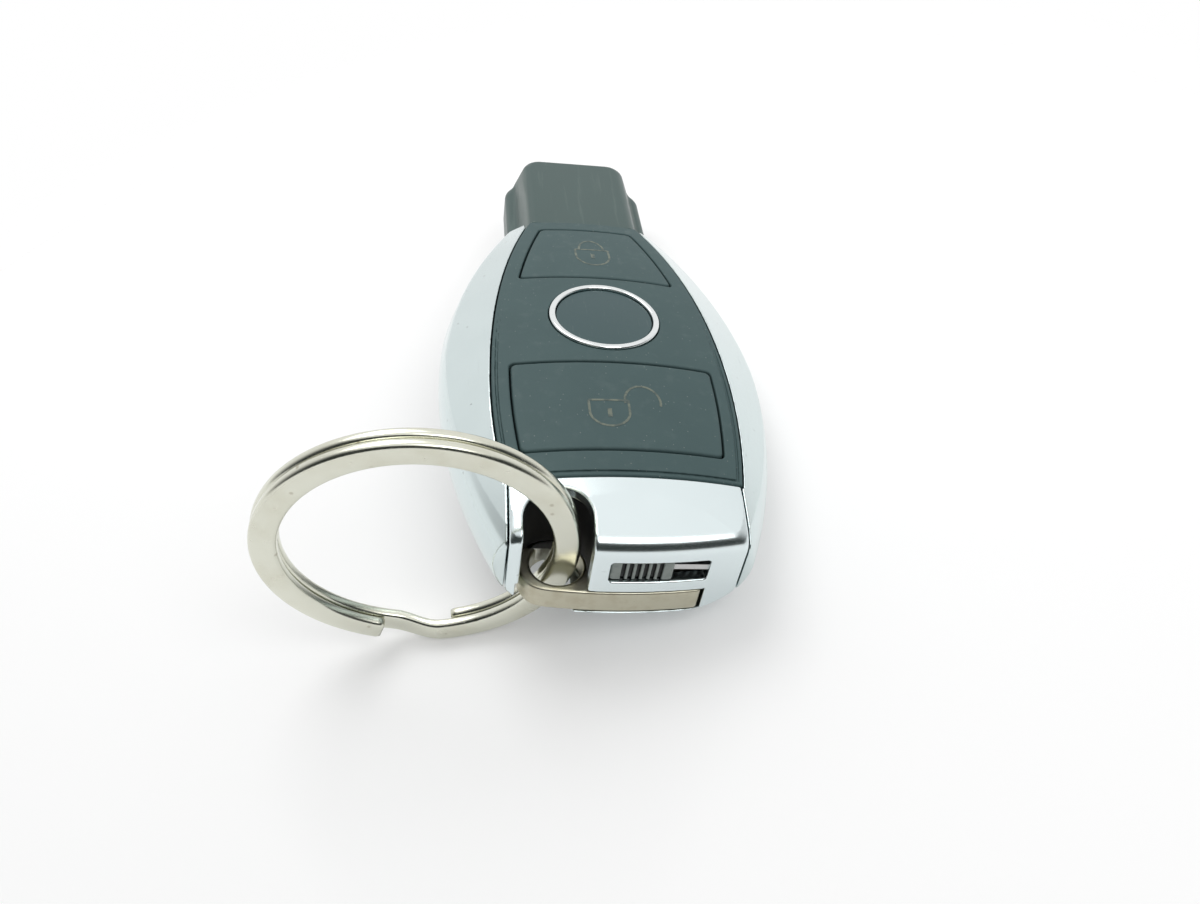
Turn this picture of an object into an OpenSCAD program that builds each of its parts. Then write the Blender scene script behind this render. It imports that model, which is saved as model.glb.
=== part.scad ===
// Car key fob: a moulded remote control with two push buttons, a plug-in nose,
// plated side trims, a tail cap with a release slide, an emergency key and its split ring.
// Frame: x to the right, y towards the nose, z up from the flat rear face,
// with the origin on the rear face at the widest station.

/* [Overall] */
// Width across the side trims at the widest station
body_w = 42.4; // [41:0.2:46]
// Height from the rear face to the crown of the front panel
body_h = 15.5; // [15:0.1:17]
// Length from the widest station back to the tail face
tail_l = 32; // [30:0.5:35]
// Half width across the side trims at the tail
tail_half = 13.92; // [13.5:0.02:14.5]
// Length from the widest station forward to the shoulder where the nose starts
shoulder_l = 33.5; // [32:0.5:36]
// Length of the nose in front of the shoulder
nose_l = 20.5; // [16:0.5:24]

/* [Side trims] */
// Radius of the lower side, from the rear face to the widest line
belly_r = 6.5; // [6:0.1:7]
// Radius of the upper side, from the widest line to the crease
flank_r = 8; // [7.5:0.1:10]
// Slope of the plated bevel above the crease, in degrees
bevel_deg = 36; // [34:1:38]
// Steep angle just below the crease, in degrees
crease_deg = 72; // [68:1:76]
// Half width at the bevel's upper edge, at the widest station
bevel_x = 15; // [14.5:0.1:15.5]
// Height of the bevel's upper edge, at the widest station
bevel_z = 14; // [13.5:0.1:14.3]
// How far the bevel's centre lies behind that of the sides, which lowers the crease at the nose
bevel_back = 2.5; // [1:0.1:3]
// How far the crease lies inside the widest line
crease_in = 0.6; // [0.4:0.05:1]
// Radius of the crease
crease_r = 1.5; // [0.8:0.1:2]
// Wall of the side trims
trim_wall = 1.5; // [1.2:0.05:1.8]
// Width of a side trim beside the tail cap, at the tail
trim_end = 0.62; // [0.5:0.02:0.9]

/* [Front panel] */
// Radius of the crown seen from the side
crown_side_r = 174; // [150:1:220]
// Radius of the crown seen from the nose
crown_cross_r = 75.7; // [60:0.5:100]
// Greatest width of the panel
panel_w = 30; // [28:0.2:31]
// Distance of the panel's widest station behind the origin
panel_back = 7.5; // [5:0.1:10]
// Radius of the panel's sides towards the nose
panel_nose_r = 128; // [110:1:160]
// Radius of the panel's sides towards the tail
panel_tail_r = 92; // [80:1:120]
// Wall of the panel
panel_wall = 1.7; // [1.4:0.05:2]

/* [Buttons] */
// Margin between a button's aperture and the panel's sides
button_margin = 2.2; // [1.8:0.1:3]
// Distance from the lock aperture to the nose end of the panel
lock_margin = 3; // [2:0.1:5]
// Distance from the lock aperture to the badge
lock_gap = 2.2; // [1.5:0.1:4]
// Distance from the unlock aperture to the tail end of the panel
unlock_margin = 3.7; // [2.5:0.1:5]
// Distance from the unlock aperture to the badge
unlock_gap = 2.3; // [1.5:0.1:4]
// Travel of a button
button_travel = 0.4; // [0.3:0.05:0.6]
// Gap round a button
button_gap = 0.22; // [0.15:0.01:0.3]
// Width of the flange that keeps a button under the panel
button_flange = 0.8; // [0.5:0.1:1.2]
// Thickness of that flange
flange_t = 1; // [0.8:0.1:1.2]
// Radius of a button's plunger
plunger_r = 1.8; // [1.4:0.1:2.4]

/* [Badge] */
// Outer radius of the badge ring
badge_r = 7.3; // [6:0.1:8]
// Width of the badge ring
badge_ring_w = 0.85; // [0.6:0.05:1.4]
// Distance of the badge in front of the origin
badge_fwd = 5; // [3:0.1:7]
// Depth of the badge's recess in the panel
badge_depth = 0.8; // [0.5:0.05:1]
// Height of the ring above the panel
badge_proud = 0.3; // [0.1:0.05:0.5]

/* [Nose] */
// Half width of the nose's upper block
nose_top_half = 8.8; // [8:0.1:9.5]
// Half width of the nose's lower flange
nose_flange_half = 11.2; // [10.5:0.1:11.6]
// Height of the nose's flat top
nose_top_z = 11.8; // [11:0.1:12.2]
// Height of the nose's underside
nose_low_z = 2.4; // [2:0.1:3]
// Height of the flange's upper side
nose_flange_z = 7.9; // [7:0.1:8.5]
// How far the flange stays behind the tip
nose_flange_back = 3; // [2:0.1:5]
// Radius of the nose's upright edges
nose_corner_r = 2.6; // [2:0.1:3]
// Radius of the nose's level edges
nose_edge_r = 1; // [0.6:0.05:1.3]
// Wall of the nose
nose_wall = 1.4; // [1:0.05:1.8]

/* [Tail cap] */
// Length of the tail cap on the top
cap_l = 8.7; // [8:0.1:10]
// Radius of the tail face seen from above
tail_r = 70; // [60:1:90]
// Height of the tail ridge
ridge_z = 11.7; // [11.3:0.05:12]
// Slope of the cap's top, in degrees
ridge_deg = 16.5; // [15:0.5:18]
// Radius of the tail ridge
ridge_r = 1.3; // [0.8:0.1:1.8]
// Wall of the tail cap
cap_wall = 1.6; // [1.3:0.05:1.9]
// Lip of the cap under the key's head
cap_lip = 0.5; // [0.4:0.05:0.6]

/* [Emergency key] */
// Half of the key ring's notch in the cap
notch_half = 3.8; // [3.6:0.05:3.9]
// How far the notch's middle lies outside the eye
notch_out = 0.7; // [0.6:0.05:0.8]
// Depth of the notch from the tail face
notch_l = 7.4; // [7:0.1:8]
// Distance from the cap's side to the key's head
head_side = 1.4; // [1.2:0.05:1.6]
// Distance of the eye in front of the tail face
eye_in = 4.5; // [4.4:0.1:4.8]
// Radius of the eye's hole
eye_r = 3.1; // [3:0.05:3.2]
// Radius of the head round the eye
eye_outer_r = 4.6; // [4.4:0.05:4.8]
// Distance of the head's right end from the centre line
head_right = 9.1; // [8:0.1:9.4]
// Depth of the key's head
head_l = 9.6; // [9.2:0.1:10]
// Thickness of the key's head
head_t = 3.2; // [3:0.05:3.4]
// Gap between the key's head and the cap's lip
head_gap = 0.15; // [0.1:0.01:0.25]
// Room beside that lip for the leaning ring
lip_room = 0.3; // [0.2:0.05:0.6]
// Distance from the blade to the coin cell
blade_gap = 0.8; // [0.6:0.05:1.2]
// Length of the blade in front of the head
blade_l = 46; // [40:0.5:47]
// Thickness of the blade
blade_t = 2; // [1.6:0.1:2.2]
// Length of the blade's tapered tip
blade_tip_l = 11; // [9:0.5:14]
// Depth of the groove milled along the blade
blade_groove = 0.5; // [0.3:0.05:0.6]
// Length of the blade's tang in the head
tang_l = 3; // [2:0.1:3.5]
// Width of the tang
tang_w = 3; // [2:0.1:4]

/* [Release slide] */
// Left end of the slide's slot, from the centre line
slot_left = 2.1; // [1.8:0.1:2.4]
// Length of the slot
slot_l = 11.3; // [10.5:0.1:12]
// Height of the slot's lower edge
slot_z = 5.8; // [5.6:0.1:6]
// Height of the slot
slot_h = 3.2; // [2.8:0.1:3.3]
// Travel of the slide
slide_travel = 4; // [3:0.1:4.2]
// Gap round the slide
slide_gap = 0.12; // [0.08:0.01:0.2]
// How far the slide's face lies inside the tail face
slide_recess = 0.35; // [0.2:0.05:0.5]
// Room between the cap's wall and the plate behind it that keeps the slide in
slide_room = 1.4; // [1.2:0.05:1.6]
// Thickness of that plate
slide_back_t = 1.6; // [1.3:0.1:2]
// How far the plate reaches past the slide
slide_overlap = 0.9; // [0.7:0.05:1]
// Width of the latch tongue below the plate
tongue_w = 3; // [2:0.1:4]
// Number of grooves across the slide
slide_grooves = 6; // [4:1:7]
// Width of a groove
groove_w = 0.45; // [0.3:0.05:0.5]
// Plain pad at either end of the slide
slide_pad = 1; // [0.6:0.1:1.4]
// Height of the steel rail
rail_h = 0.8; // [0.6:0.1:1]
// Thickness of the rail
rail_t = 0.6; // [0.4:0.05:0.7]
// Distance of the rail in front of the tail face
rail_in = 1.1; // [1:0.05:1.2]
// How far the rail is let into the cap at either end
rail_seat = 0.6; // [0.4:0.05:0.8]
// Length of the spring's pocket beyond the slot
spring_room = 3; // [2.6:0.1:3.2]
// Wire diameter of the release spring
spring_wire = 0.35; // [0.3:0.01:0.4]
// Outer diameter of the release spring
spring_d = 2.2; // [1.8:0.1:2.4]
// Turns of the release spring
spring_turns = 6; // [4:1:7]

/* [Key ring] */
// Outer diameter of the key ring
ring_d = 35.5; // [33:0.5:38]
// Width of the ring's flat wire
ring_wire_w = 3; // [2.6:0.1:3.1]
// Thickness of the ring's flat wire
ring_wire_t = 1.3; // [1.1:0.05:1.35]
// Gap between the ring's two turns
ring_gap = 0.1; // [0.05:0.01:0.2]
// Height of the ring's centre above the rear face
ring_z = 7; // [5.5:0.1:8.5]
// Lean of the ring towards the tail, in degrees
ring_lean = 5; // [0:0.5:5]
// Angle that the cross-over between the turns takes
ring_cross_span = 20; // [14:1:30]
// Angle from a free end of the wire to the cross-over
ring_end_gap = 5; // [4:0.5:8]

/* [Rear cover and coin cell] */
// Thickness of the rear cover
cover_t = 1.3; // [1:0.05:1.5]
// Distance of the cover's hinge from the shoulder
hinge_in = 1.5; // [1.2:0.1:2]
// Width of the cover's clip
clip_w = 6; // [4:0.5:8]
// Distance of the clip from the centre line
clip_x = 1; // [0:0.1:2]
// Thickness of the clip
clip_t = 1; // [0.8:0.1:1.2]
// Height of the clip above the cover
clip_h = 1.6; // [1.2:0.1:1.8]
// Diameter of the coin cell
cell_d = 20; // [19:0.5:20]
// Thickness of the coin cell
cell_t = 2.5; // [2:0.1:2.5]
// Distance from the coin cell to the foot of the right side trim
cell_gap = 0.2; // [0.15:0.05:0.4]
// Distance of the coin cell in front of the origin
cell_y = 2; // [1:0.1:3]
// Width of the cell's rim
cell_rim = 1.2; // [0.8:0.1:2]
// Height of the step at the rim
cell_step = 0.4; // [0.2:0.05:0.6]
// Thickness of the battery contacts
contact_t = 0.25; // [0.2:0.01:0.3]
// Width of the battery contacts
contact_w = 7; // [5:0.5:8]

/* [Board] */
// Thickness of the circuit board
board_t = 1; // [0.8:0.1:1.2]
// Height of the circuit board's underside
board_z = 5.2; // [5.1:0.05:5.3]
// Margin between the board and the panel's outline
board_margin = 3.2; // [3:0.1:4]
// Thickness of the carrier's deck between coin cell and board
deck_t = 0.8; // [0.6:0.1:0.9]
// Thickness of the rubber mat
mat_t = 0.8; // [0.6:0.1:1]
// Margin between the mat and the panel's outline
mat_margin = 1.4; // [1.2:0.1:2]
// Height of the mat's domes
dome_h = 0.6; // [0.5:0.05:0.8]
// Radius of the mat's domes
dome_r = 2.6; // [2:0.1:3]
// Side of a push switch
switch_side = 4.5; // [3.5:0.1:5.5]
// Height of a push switch
switch_h = 1.6; // [1.4:0.05:1.7]
// Height of its actuator above its base
actuator_h = 0.5; // [0.3:0.05:0.7]
// Side of the controller chip
chip_side = 6; // [5:0.5:7]
// Height of the controller chip
chip_h = 0.9; // [0.7:0.1:1.4]
// Distance from the board's side to the chip's middle
chip_in = 5.8; // [5:0.1:6.5]
// Length of the crystal
crystal_l = 5; // [4:0.5:6]
// Width of the crystal
crystal_w = 2; // [1.5:0.1:2.5]
// Height of the crystal
crystal_h = 1.2; // [0.8:0.1:1.5]
// Radius of the infrared lamp
lamp_r = 1.25; // [1:0.05:1.4]
// Length of the lamp and of the receiver
lamp_l = 3; // [2:0.1:4]
// Distance of the lamp from the centre line
lamp_x = 3; // [2.5:0.1:4]
// Outer radius of the power coil
coil_r = 5; // [4:0.1:5.5]
// Radius of the coil's bore
coil_hole_r = 2.2; // [1.5:0.1:3]
// Height of the coil
coil_h = 2.4; // [1.5:0.1:3]

/* [Fits] */
// Gap at the parting lines of the casing
parting = 0.15; // [0.1:0.01:0.25]
// Clearance between pieces that are fitted together inside
fit = 0.1; // [0.05:0.01:0.15]
// Clearance round pieces that slide or swing
running = 0.25; // [0.2:0.01:0.35]

/* [Hidden] */

// Facets of the long arcs, of round pieces and of small radii
fine = 240;
round = 64;
edge = 32;
spring_ring_steps = 10;
spring_sides = 6;

// The casing: its sides are arcs through the widest station and the tail
half_w = body_w / 2;
side_drop = half_w - tail_half;
plan_r = (tail_l ^ 2 + side_drop ^ 2) / (2 * side_drop);
plan_cx = plan_r - half_w;
tip_y = shoulder_l + nose_l;
reach = tail_l + tip_y;
panel_tail_y = cap_l - tail_l;
crease_x = half_w - crease_in;
cap_half = tail_half - trim_end;
inner = max(trim_wall, cap_wall, panel_wall) + fit;
// Underside of the panel's nose corners
panel_nose_z = body_h - crown_side_r + sqrt(crown_side_r ^ 2 - shoulder_l ^ 2)
    - crown_cross_r + sqrt(crown_cross_r ^ 2 - nose_top_half ^ 2) - panel_wall - fit;

// Buttons, mat and board
lock_y = badge_fwd + badge_r + lock_gap;
lock_l = shoulder_l - lock_margin - lock_y;
unlock_y = panel_tail_y + unlock_margin;
unlock_l = badge_fwd - badge_r - unlock_gap - unlock_y;
board_top = board_z + board_t;
board_tip_y = tip_y - 3 * nose_wall;
chip_x = chip_in + board_margin - panel_w / 2;
mat_z = board_top + switch_h + running;
mat_top = mat_z + mat_t;
plunger_z = mat_top + dome_h + button_travel + fit / 2;

// Coin cell and rear cover
cell_x = half_w - belly_r - cell_gap - cell_d / 2;
cell_z = cover_t + 2 * fit;
deck_z = board_z - deck_t;
hinge_y = shoulder_l - hinge_in;

// Emergency key
head_z = cap_lip + head_gap;
head_top = head_z + head_t;
head_mid = head_z + head_t / 2;
head_front = head_l - tail_l;
head_left = cap_half - head_side;
eye_x = head_left - eye_outer_r;
eye_y = eye_in - tail_l;
notch_x = eye_x + notch_out;
blade_z = head_top - blade_t;
blade_w = head_left + cell_x - cell_d / 2 - blade_gap;
blade_tip_w = blade_w / 3;
channel_top = head_top + running;
lip_front = head_front + running;
cover_tail_y = lip_front + parting;

// Release slide and its spring
slide_l = slot_l - slide_travel - 2 * slide_gap;
slide_left = slide_gap - slot_left;
slide_back_y = cap_wall + slide_room - tail_l;
slot_mid = slot_z + slot_h / 2;
groove_pitch = (slide_l - 2 * slide_pad) / slide_grooves;
spring_left = slide_left + slide_l + slide_overlap;
spring_right = slot_l - slot_left + spring_room;

// Key ring, which passes through the eye
ring_r = ring_d / 2;
ring_inner_r = ring_r - ring_wire_w;
ring_drop = ring_z - head_mid;
ring_reach = (sqrt(ring_r ^ 2 - ring_drop ^ 2) + sqrt(ring_inner_r ^ 2 - ring_drop ^ 2)) / 2;
ring_half_t = ring_wire_t + ring_gap / 2;
lip_left = ring_half_t + running + lip_room - eye_x;

function unit(deg) = [sin(deg), cos(deg)];
function dot2(a, b) = a[0] * b[0] + a[1] * b[1];
function meet(n1, d1, n2, d2) =
    let (det = n1[0] * n2[1] - n1[1] * n2[0])
    [(d1 * n2[1] - d2 * n1[1]) / det, (n1[0] * d2 - n2[0] * d1) / det];

// A block between two opposite corners
module block(low, high) {
    translate(low)
        cube(high - low);
}

// Section of the sides from the arc's axis: belly below the widest line, flank above it
module side_section(inset) {
    translate([0, inset])
        square([plan_r - belly_r, 2 * body_h]);
    intersection() {
        translate([plan_r - belly_r, belly_r])
            circle(r = belly_r - inset, $fn = round);
        square([plan_r, belly_r]);
    }
    intersection() {
        translate([plan_r - flank_r, belly_r])
            circle(r = flank_r - inset, $fn = round);
        translate([0, belly_r])
            square([plan_r, flank_r]);
    }
}

// Section under the bevel from the same axis, with the rounded crease and the steep face below it
module bevel_section(inset) {
    up = unit(bevel_deg);
    out = unit(crease_deg);
    bevel_d = dot2(up, [bevel_x, bevel_z]) - inset;
    crease_z = bevel_z - (crease_x - bevel_x) * tan(bevel_deg);
    steep_d = dot2(out, [crease_x, crease_z]) - inset;
    centre = [plan_cx, 0] + meet(up, bevel_d - crease_r, out, steep_d - crease_r);
    low = -body_h;
    polygon([[0, low],
             [plan_cx + (steep_d - out[1] * low) / out[0], low],
             centre + crease_r * out,
             centre + crease_r * up,
             [0, (bevel_d + up[0] * plan_cx) / up[1]]]);
    translate(centre)
        circle(r = crease_r, $fn = edge);
}

// Sweeps a section round both side arcs and keeps what lies inside the two
module between_sides(back) {
    intersection() {
        translate([-plan_cx, -back, 0])
            rotate_extrude($fn = fine)
                children();
        translate([plan_cx, -back, 0])
            rotate_extrude($fn = fine)
                children();
    }
}

// Everything under the doubly curved crown, lowered by inset
module under_crown(inset) {
    depth = body_h + reach / 4;
    half_turn = asin(reach / crown_side_r);
    translate([0, 0, body_h - crown_side_r])
        rotate([0, 90, 0])
            rotate([0, 0, 180 - half_turn])
                rotate_extrude(angle = 2 * half_turn, $fn = 2 * fine)
                    intersection() {
                        translate([crown_side_r - crown_cross_r, 0])
                            circle(r = crown_cross_r - inset, $fn = 2 * fine);
                        translate([crown_side_r - depth, -body_w])
                            square([2 * depth, 2 * body_w]);
                    }
}

// Everything in front of the curved tail face and under the tail ridge
module tail_form(inset) {
    up = unit(ridge_deg);
    face_r = tail_r - inset;
    slope_d = dot2(up, [tail_r, ridge_z]) - inset;
    centre = [face_r - ridge_r, (slope_d - ridge_r - up[0] * (face_r - ridge_r)) / up[1]];
    translate([0, tail_r - tail_l, 0])
        rotate_extrude($fn = fine) {
            polygon([[0, -body_h],
                     [face_r, -body_h],
                     [face_r, centre[1]],
                     centre + ridge_r * up,
                     [0, slope_d / up[1]]]);
            translate(centre)
                circle(r = ridge_r, $fn = edge);
        }
}

// The casing's outer form, or what lies inset below its surface
module body_form(inset) {
    intersection() {
        between_sides(0) side_section(inset);
        between_sides(bevel_back) bevel_section(inset);
        under_crown(inset);
        tail_form(inset);
        block([-body_w, -2 * tail_l, inset], [body_w, shoulder_l - inset, 2 * body_h]);
    }
}

// What two plan arcs of radius r enclose, centred cx to either side at y
module lens(r, cx, y) {
    intersection() {
        translate([-cx, y])
            circle(r = r, $fn = fine);
        translate([cx, y])
            circle(r = r, $fn = fine);
    }
}

// Outline of the front panel, drawn in by inset
module panel_outline(inset) {
    intersection() {
        union() {
            intersection() {
                lens(panel_nose_r - inset, panel_nose_r - panel_w / 2, -panel_back);
                translate([-reach, -panel_back])
                    square(2 * reach);
            }
            intersection() {
                lens(panel_tail_r - inset, panel_tail_r - panel_w / 2, -panel_back);
                translate([-reach, -panel_back - 2 * reach])
                    square(2 * reach);
            }
        }
        translate([-reach, panel_tail_y + inset])
            square([2 * reach, shoulder_l - panel_tail_y - 2 * inset]);
    }
}

// Outline of a button's aperture that starts at y and is l long, widened by grow
module button_outline(y, l, grow) {
    intersection() {
        panel_outline(button_margin - grow);
        translate([-reach, y - grow])
            square([2 * reach, l + 2 * grow]);
    }
}

// Outline of the opening in the casing's back, drawn in by inset
module rear_outline(inset) {
    lens(plan_r - belly_r - inset, plan_cx, 0);
}

// An upright prism of a plan outline, cut by the crown at two depths
module crown_layer(top, bottom) {
    difference() {
        intersection() {
            linear_extrude(2 * body_h)
                children();
            under_crown(top);
        }
        under_crown(bottom);
    }
}

// Outline of the key ring's notch, drawn out by grow
module notch_outline(grow) {
    centre_y = notch_l - notch_half - tail_l;
    translate([-notch_x, centre_y])
        circle(r = notch_half + grow, $fn = round);
    translate([-notch_x - notch_half - grow, centre_y - tail_l])
        square([2 * (notch_half + grow), tail_l]);
}

// The room that the key's head and blade slide in
module key_channel() {
    block([-head_left - running, -2 * tail_l, cap_lip],
          [head_right + running, lip_front, channel_top]);
    block([-head_left - running, -tail_l, cover_t],
          [blade_w + running - head_left, head_front + blade_l + 2 * running, channel_top]);
}

// The room that the nose takes in the casing's shoulder
module nose_room() {
    back = shoulder_l - inner - fit;
    block([-nose_top_half - fit, back, nose_low_z - fit],
          [nose_top_half + fit, tip_y, nose_top_z + fit]);
    block([-nose_flange_half - fit, back, nose_low_z - fit],
          [nose_flange_half + fit, tip_y, nose_flange_z + fit]);
}

// One side trim, on the right: a plated shell from the panel's edge round to the rear cover
module side_trim() {
    difference() {
        intersection() {
            body_form(0);
            block([0, -2 * tail_l, -body_h], [body_w, 2 * tip_y, 2 * body_h]);
        }
        body_form(trim_wall);
        translate([0, 0, belly_r])
            linear_extrude(body_h)
                panel_outline(-parting / 2);
        block([-body_w, -2 * tail_l, -body_h],
              [cap_half + parting, panel_tail_y - parting / 2, 2 * body_h]);
        block([-body_w, -2 * tail_l, -body_h], [cap_half + parting, lip_front + parting, channel_top]);
        translate([0, 0, -body_h])
            linear_extrude(body_h + belly_r)
                rear_outline(0);
        nose_room();
    }
}

module left_side_trim() {
    color("gainsboro")
        mirror([1, 0, 0])
            side_trim();
}

module right_side_trim() {
    color("gainsboro")
        side_trim();
}

module tail_cap() {
    color("gainsboro")
        difference() {
            intersection() {
                body_form(0);
                union() {
                    block([-cap_half, -2 * tail_l, -body_h],
                          [cap_half, panel_tail_y - parting / 2, 2 * body_h]);
                    block([-cap_half, -tail_l, -body_h], [cap_half, lip_front, cap_lip]);
                }
            }
            difference() {
                body_form(cap_wall);
                block([-body_w, -2 * tail_l, -body_h], [body_w, tip_y, cap_lip]);
            }
            key_channel();
            block([-head_left - running, -2 * tail_l, -body_h], [lip_left, tip_y, channel_top]);
            translate([0, 0, head_z])
                linear_extrude(2 * body_h)
                    notch_outline(0);
            block([-slot_left, -2 * tail_l, slot_z],
                  [slot_l - slot_left, slide_back_y, slot_z + slot_h]);
            rail_bar(fit / 2);
        }
}

// The steel rail across the slot, thickened by grow for its seat
module rail_bar(grow) {
    block([-slot_left - rail_seat - grow, rail_in - tail_l - grow, slot_mid - rail_h / 2 - grow],
          [slot_l - slot_left + rail_seat + grow, rail_in + rail_t - tail_l + grow,
           slot_mid + rail_h / 2 + grow]);
}

module slide_rail() {
    color("silver")
        rail_bar(0);
}

module front_panel() {
    color("darkslategray")
        difference() {
            crown_layer(0, panel_wall) panel_outline(parting / 2);
            linear_extrude(2 * body_h)
                button_outline(lock_y, lock_l, 0);
            linear_extrude(2 * body_h)
                button_outline(unlock_y, unlock_l, 0);
            difference() {
                translate([0, badge_fwd, body_h / 2])
                    cylinder(r = badge_r + fit, h = body_h, $fn = round);
                under_crown(badge_depth + fit / 2);
            }
        }
}

module badge_ring() {
    color("silver")
        crown_layer(-badge_proud, badge_depth)
            translate([0, badge_fwd])
                difference() {
                    circle(r = badge_r, $fn = round);
                    circle(r = badge_r - badge_ring_w, $fn = round);
                }
}

module badge_disc() {
    color("darkslategray")
        crown_layer(fit, badge_depth)
            translate([0, badge_fwd])
                circle(r = badge_r - badge_ring_w - fit, $fn = round);
}

// A push button: a crowned cap, a flange that keeps it under the panel, and a plunger
module push_button(y, l) {
    color("darkslategray") {
        crown_layer(0, panel_wall + flange_t) button_outline(y, l, -button_gap);
        crown_layer(panel_wall + fit, panel_wall + flange_t) button_outline(y, l, button_flange);
        intersection() {
            translate([0, y + l / 2, plunger_z])
                cylinder(r = plunger_r, h = body_h, $fn = round);
            under_crown(panel_wall);
        }
    }
}

module lock_button() {
    push_button(lock_y, lock_l);
}

module unlock_button() {
    push_button(unlock_y, unlock_l);
}

module button_mat() {
    color("dimgray") {
        translate([0, 0, mat_z])
            linear_extrude(mat_t)
                panel_outline(mat_margin);
        for (y = [lock_y + lock_l / 2, unlock_y + unlock_l / 2])
            translate([0, y, mat_z])
                cylinder(r = dome_r, h = mat_t + dome_h, $fn = round);
    }
}

// The moulded carrier that fills the casing and seats everything inside it
module carrier() {
    color("dimgray")
        difference() {
            union() {
                intersection() {
                    body_form(inner);
                    block([-body_w, -2 * tail_l, cover_t + fit], [body_w, tip_y, 2 * body_h]);
                }
                block([fit + nose_wall - nose_top_half, shoulder_l - 3 * inner,
                       nose_low_z + nose_wall + fit],
                      [nose_top_half - nose_wall - fit, tip_y - 2 * nose_wall, board_z]);
            }
            translate([0, 0, board_z])
                linear_extrude(body_h)
                    panel_outline(board_margin - fit);
            translate([0, 0, mat_z])
                linear_extrude(body_h)
                    panel_outline(mat_margin - fit);
            block([fit + nose_wall - nose_top_half, 0, board_z],
                  [nose_top_half - nose_wall - fit, tip_y, mat_z]);
            translate([cell_x, cell_y, -body_h])
                cylinder(d = cell_d + 2 * fit, h = body_h + deck_z, $fn = fine);
            plus_pocket();
            key_channel();
            translate([0, 0, head_z])
                linear_extrude(2 * body_h)
                    notch_outline(running);
            block([slide_left - slide_overlap - running, -2 * tail_l, cap_lip],
                  [spring_right, slide_back_y + slide_back_t + running,
                   slot_z + slot_h + slide_overlap + running]);
            block([clip_x - running, cover_tail_y, 0],
                  [clip_x + clip_w + running, cover_tail_y + clip_t + 2 * running,
                   cover_t + clip_h + running]);
        }
}

// The nose's upper block or its flange: four upright edges with rounded shoulders
module nose_block(half, front, low, high) {
    r = nose_corner_r;
    e = nose_edge_r;
    hull()
        for (x = [r - half, half - r], y = [shoulder_l, front - r])
            translate([x, y, low])
                rotate_extrude($fn = edge) {
                    square([r - e, high - low]);
                    square([r, high - low - e]);
                    translate([r - e, high - low - e])
                        circle(r = e, $fn = edge);
                }
}

module nose_cap() {
    back = shoulder_l - trim_wall;
    color("darkslategray") {
        difference() {
            union() {
                nose_block(nose_top_half, tip_y, nose_low_z, nose_top_z);
                nose_block(nose_flange_half, tip_y - nose_flange_back, nose_low_z, nose_flange_z);
            }
            block([-body_w, 0, -body_h], [body_w, back, 2 * body_h]);
            block([-body_w, 0, panel_nose_z], [body_w, shoulder_l, 2 * body_h]);
            block([nose_wall - nose_top_half, 0, nose_low_z + nose_wall],
                  [nose_top_half - nose_wall, tip_y - nose_wall, nose_top_z - nose_wall]);
            block([nose_wall - nose_flange_half, 0, nose_low_z + nose_wall],
                  [nose_flange_half - nose_wall, tip_y - nose_flange_back - nose_corner_r,
                   nose_flange_z - nose_wall]);
        }
        // Chin that closes the shoulder between the rear cover and the nose
        intersection() {
            linear_extrude(nose_low_z + nose_wall / 2)
                rear_outline(parting);
            block([-body_w, hinge_y + cover_t / 2 + parting, 0], [body_w, shoulder_l, body_h]);
        }
    }
}

module rear_cover() {
    color("darkslategray") {
        linear_extrude(cover_t)
            intersection() {
                rear_outline(parting);
                translate([-body_w, cover_tail_y])
                    square([2 * body_w, hinge_y - cover_tail_y]);
            }
        intersection() {
            translate([-body_w, hinge_y, cover_t / 2])
                rotate([0, 90, 0])
                    cylinder(d = cover_t, h = 2 * body_w, $fn = round);
            linear_extrude(cover_t)
                rear_outline(parting + hinge_in);
        }
        block([clip_x, cover_tail_y + running, cover_t / 2],
              [clip_x + clip_w, cover_tail_y + running + clip_t, cover_t + clip_h]);
    }
}

module circuit_board() {
    color("seagreen")
        translate([0, 0, board_z])
            linear_extrude(board_t) {
                panel_outline(board_margin);
                translate([2 * fit + nose_wall - nose_top_half, 0])
                    square([2 * (nose_top_half - nose_wall - 2 * fit), board_tip_y]);
            }
}

// A push switch on the board, with its round actuator
module push_switch(y) {
    actuator_r = switch_side / 4;
    base_h = switch_h - actuator_h;
    color("black") {
        translate([-switch_side / 2, y - switch_side / 2, board_top])
            cube([switch_side, switch_side, base_h]);
        translate([0, y, board_top])
            cylinder(r = actuator_r, h = switch_h, $fn = round);
    }
}

module lock_switch() {
    push_switch(lock_y + lock_l / 2);
}

module unlock_switch() {
    push_switch(unlock_y + unlock_l / 2);
}

module controller_chip() {
    color("black")
        translate([chip_x - chip_side / 2, badge_fwd - chip_side / 2, board_top])
            cube([chip_side, chip_side, chip_h]);
}

module crystal() {
    color("silver")
        translate([-chip_x - crystal_w / 2, badge_fwd - crystal_l / 2, board_top])
            cube([crystal_w, crystal_l, crystal_h]);
}

// Infrared lamp at the tip, shining forward through the nose
module infrared_emitter() {
    front = board_tip_y - lamp_r;
    color("lightsteelblue") {
        translate([lamp_x, front - lamp_l, board_top + lamp_r])
            rotate([-90, 0, 0])
                cylinder(r = lamp_r, h = lamp_l, $fn = round);
        translate([lamp_x, front, board_top + lamp_r])
            sphere(r = lamp_r, $fn = round);
    }
}

module infrared_receiver() {
    color("black")
        block([-lamp_x - 2 * lamp_r, board_tip_y - lamp_l, board_top],
              [-lamp_x + lamp_r, board_tip_y, board_top + 2 * lamp_r]);
}

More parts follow.
